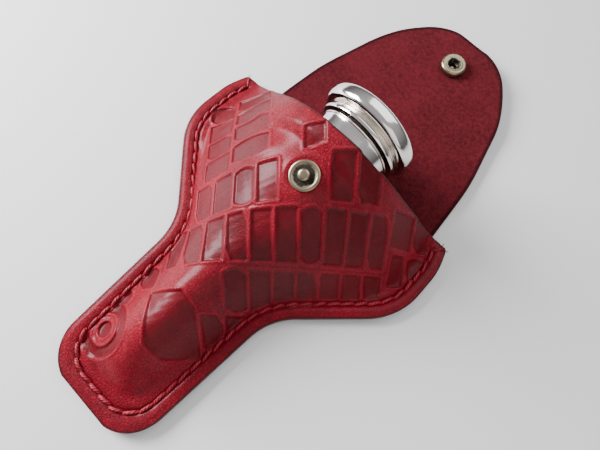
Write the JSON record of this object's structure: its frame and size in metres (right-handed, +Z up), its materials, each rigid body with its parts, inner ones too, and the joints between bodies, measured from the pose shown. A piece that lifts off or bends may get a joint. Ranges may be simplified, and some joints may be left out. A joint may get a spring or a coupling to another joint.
{
  "type": "leather mouthpiece pouch",
  "caption": "Moulded leather pouch with a stitched seam and a flap that folds over and snaps shut on the front, holding a brass instrument mouthpiece.",
  "frame": {"origin": "middle of the pouch's tail edge, on the flat underside of the back leather", "axes": "+Y from the tail to the mouth and on along the open flap, +Z up out of the bulged front, +X across to the right"},
  "size_m": [0.113, 0.2063, 0.0436],
  "materials": {
    "leather_front": "glossy embossed",
    "leather_back": "smooth outside, suede inside",
    "thread": "waxed",
    "snap_metal": "antique",
    "spring_wire": "bright drawn",
    "silver_plate": "silver plated, polished"
  },
  "bodies": {
    "pouch": {"front_panel": "leather_front", "back_panel": "leather_back", "seam_thread_right": "thread", "seam_thread_left": "thread", "thread_ends": "thread", "snap_stud": "snap_metal", "snap_stud_post": "snap_metal"},
    "flap_root": {"flap_root": "leather_back"},
    "flap_tip": {"flap_tip": "leather_back", "snap_cap": "snap_metal", "snap_socket": "snap_metal", "snap_socket_spring": "spring_wire"},
    "mouthpiece": {"mouthpiece": "silver_plate"}
  },
  "joints": [
    {"name": "flap_fold", "type": "hinge", "parent": "pouch", "child": "flap_root", "pos_m": [0, 0.1242, 0.0018], "axis": [1, 0, 0], "range_deg": [0, 103.55]},
    {"name": "flap_roll", "type": "hinge", "parent": "flap_root", "child": "flap_tip", "pos_m": [0, 0.16987, 0.003], "axis": [1, 0, 0], "range_deg": [0, 89.85]},
    {"name": "mouthpiece_slide", "type": "slide", "parent": "pouch", "child": "mouthpiece", "axis": [0.0448, 0.9867, 0.1564], "range_m": [-0.0165, 0]}
  ],
  "couplings": [
    {"joint": "flap_fold", "follows": "mouthpiece_slide", "rad_per_m": -109.51},
    {"joint": "flap_roll", "follows": "mouthpiece_slide", "rad_per_m": -94.987}
  ]
}
